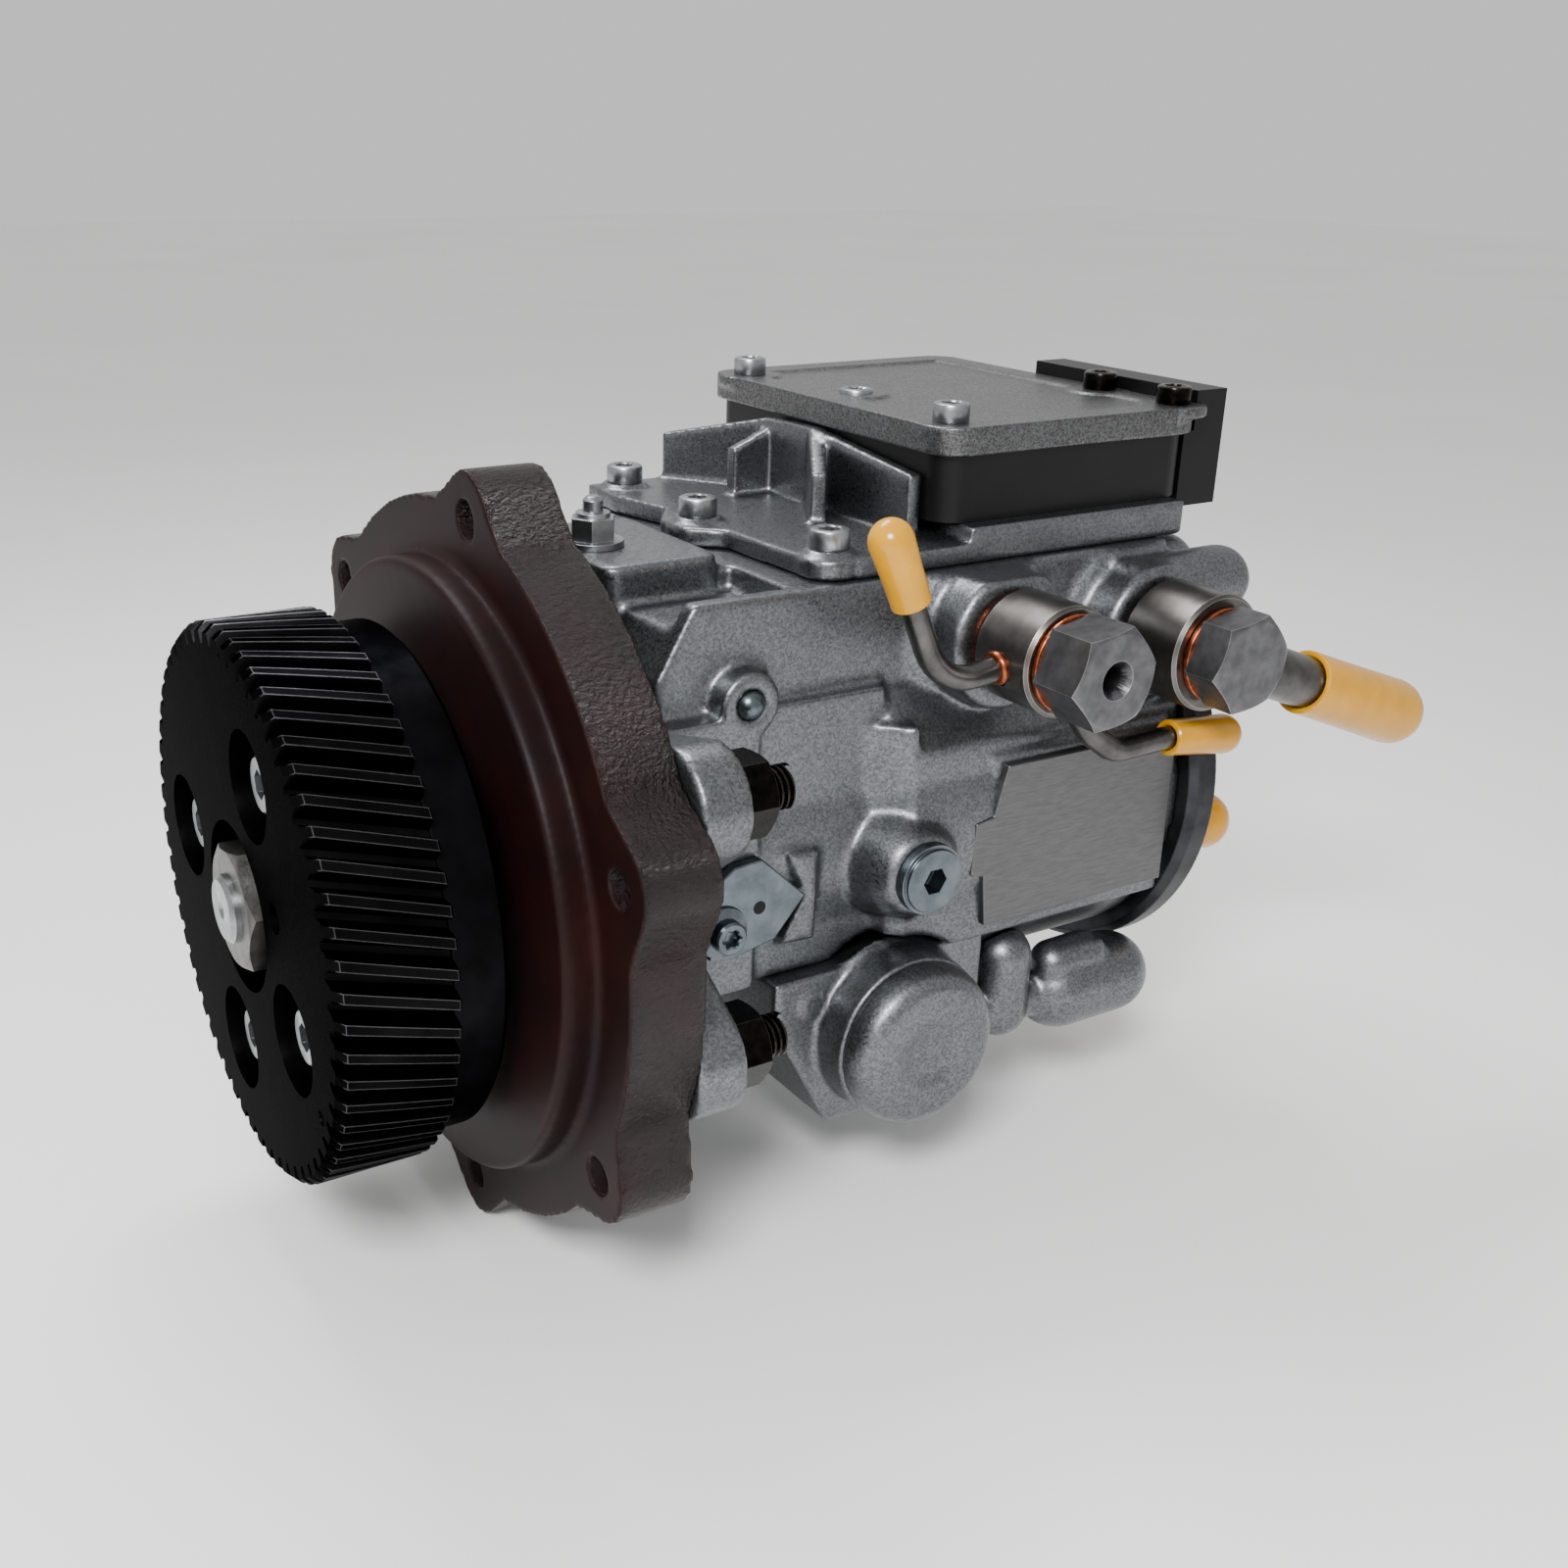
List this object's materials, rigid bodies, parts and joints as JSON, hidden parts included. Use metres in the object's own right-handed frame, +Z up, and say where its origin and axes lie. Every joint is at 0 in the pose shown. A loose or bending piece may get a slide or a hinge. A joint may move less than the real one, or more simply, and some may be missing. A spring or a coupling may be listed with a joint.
{
  "type": "diesel injection pump",
  "caption": "Rotary diesel injection pump with a helical drive gear, round mounting flange, control unit on top and capped fuel pipes.",
  "frame": {"origin": "On the shaft axis, in the plane of the flange face that bolts to the engine.", "axes": "+X runs along the shaft from the drive gear to the fuel outlets, +Z points up to the control unit, and the fuel pipes are on the -Y side."},
  "size_m": [0.3225, 0.1813, 0.2015],
  "materials": {
    "cast_aluminium": "sand-textured die casting, lightly weathered",
    "gear_steel": "black case-hardened steel with an oil film",
    "red_cast_iron": "red-brown primer on rough cast iron, turned where it fits the engine",
    "black_steel": "black oxide",
    "dark_steel": "dark phosphated steel",
    "plated_steel": "zinc-plated steel",
    "bright_steel": "hardened and ground steel",
    "spring_steel": "oiled spring wire",
    "bearing_bronze": "turned bronze",
    "copper": "soft copper",
    "plate_aluminium": "die-cast plate with a fine grain",
    "black_plastic": "glass-filled moulding",
    "board": "lacquered circuit board",
    "yellow_cap": "soft dipped vinyl",
    "rubber": "oil-proof rubber"
  },
  "bodies": {
    "housing": {"adapter_flange": "red_cast_iron", "adapter_studs": "black_steel", "control_board": "board", "control_body": "black_plastic", "control_plate": "plate_aluminium", "control_screws": "plated_steel", "cooling_bracket": "cast_aluminium", "copper_washers": "copper", "delivery_springs": "spring_steel", "distributor_head": "dark_steel", "front_bearing": "bearing_bronze", "fuel_pipes": "plated_steel", "fuel_unions": "plated_steel", "housing_screws": "plated_steel", "lock_plate": "plated_steel", "lock_screw": "plated_steel", "o_rings": "rubber", "outlet_caps": "yellow_cap", "pipe_caps": "yellow_cap", "pump_housing": "cast_aluminium", "shaft_seal": "rubber", "small_plugs": "plated_steel", "small_screws": "plated_steel", "solenoid_body": "black_plastic", "solenoid_clamp": "plated_steel", "stud_nuts": "black_steel", "supply_cover": "bright_steel", "supply_ring": "bright_steel", "timing_cover": "cast_aluminium", "timing_housing": "cast_aluminium", "timing_plug": "plated_steel", "timing_spring": "spring_steel", "timing_valve": "bright_steel", "union_bolts": "plated_steel", "valve_holders": "plated_steel"},
    "drive": {"drive_gear": "gear_steel", "gear_hub": "gear_steel", "gear_bolts": "plated_steel", "hub_washer": "plated_steel", "hub_nut": "plated_steel", "drive_shaft": "bright_steel", "shaft_key": "bright_steel", "supply_rotor": "bright_steel", "supply_vanes": "bright_steel", "sensor_wheel": "bright_steel", "distributor_rotor": "bright_steel", "cam_rollers": "bright_steel", "roller_shoes": "bright_steel", "pump_plungers": "bright_steel"},
    "cam": {"cam_ring": "bright_steel", "cam_pin": "bright_steel", "angle_sensor": "black_plastic"},
    "advance_piston": {"timing_piston": "bright_steel"},
    "injection_needle": {"solenoid_needle": "bright_steel"},
    "timing_valve_needle": {"timing_needle": "bright_steel"},
    "overflow_valve": {"overflow_piston": "bright_steel"},
    "outlet_valve_1": {"delivery_valve_1": "bright_steel"},
    "outlet_valve_2": {"delivery_valve_2": "bright_steel"},
    "outlet_valve_3": {"delivery_valve_3": "bright_steel"},
    "outlet_valve_4": {"delivery_valve_4": "bright_steel"}
  },
  "joints": [
    {"name": "shaft_spin", "type": "hinge", "parent": "housing", "child": "drive", "pos_m": [0, 0, 0], "axis": [1, 0, 0], "continuous": true},
    {"name": "cam_turn", "type": "hinge", "parent": "housing", "child": "cam", "pos_m": [0.097, 0, 0], "axis": [1, 0, 0], "range_deg": [-8.4, 8.4]},
    {"name": "advance_slide", "type": "slide", "parent": "housing", "child": "advance_piston", "axis": [0, 1, 0], "range_m": [-0.007, 0.007], "stiffness_N_per_m": 500, "deforming": ["timing_spring"]},
    {"name": "injection_needle_lift", "type": "slide", "parent": "housing", "child": "injection_needle", "axis": [1, 0, 0], "range_m": [0, 0.0004], "stiffness_N_per_m": 500, "springref_m": -0.001},
    {"name": "timing_needle_lift", "type": "slide", "parent": "housing", "child": "timing_valve_needle", "axis": [1, 0, 0], "range_m": [0, 0.0006], "stiffness_N_per_m": 300, "springref_m": -0.001},
    {"name": "overflow_lift", "type": "slide", "parent": "housing", "child": "overflow_valve", "axis": [0, -1, 0], "range_m": [0, 0.002], "stiffness_N_per_m": 300, "springref_m": -0.002},
    {"name": "outlet_valve_lift_1", "type": "slide", "parent": "housing", "child": "outlet_valve_1", "axis": [1, 0, 0], "range_m": [0, 0.0005], "stiffness_N_per_m": 300, "springref_m": -0.001},
    {"name": "outlet_valve_lift_2", "type": "slide", "parent": "housing", "child": "outlet_valve_2", "axis": [1, 0, 0], "range_m": [0, 0.0005], "stiffness_N_per_m": 300, "springref_m": -0.001},
    {"name": "outlet_valve_lift_3", "type": "slide", "parent": "housing", "child": "outlet_valve_3", "axis": [1, 0, 0], "range_m": [0, 0.0005], "stiffness_N_per_m": 300, "springref_m": -0.001},
    {"name": "outlet_valve_lift_4", "type": "slide", "parent": "housing", "child": "outlet_valve_4", "axis": [1, 0, 0], "range_m": [0, 0.0005], "stiffness_N_per_m": 300, "springref_m": -0.001}
  ],
  "couplings": [
    {"joint": "advance_slide", "follows": "cam_turn", "m_per_rad": 0.0474}
  ]
}
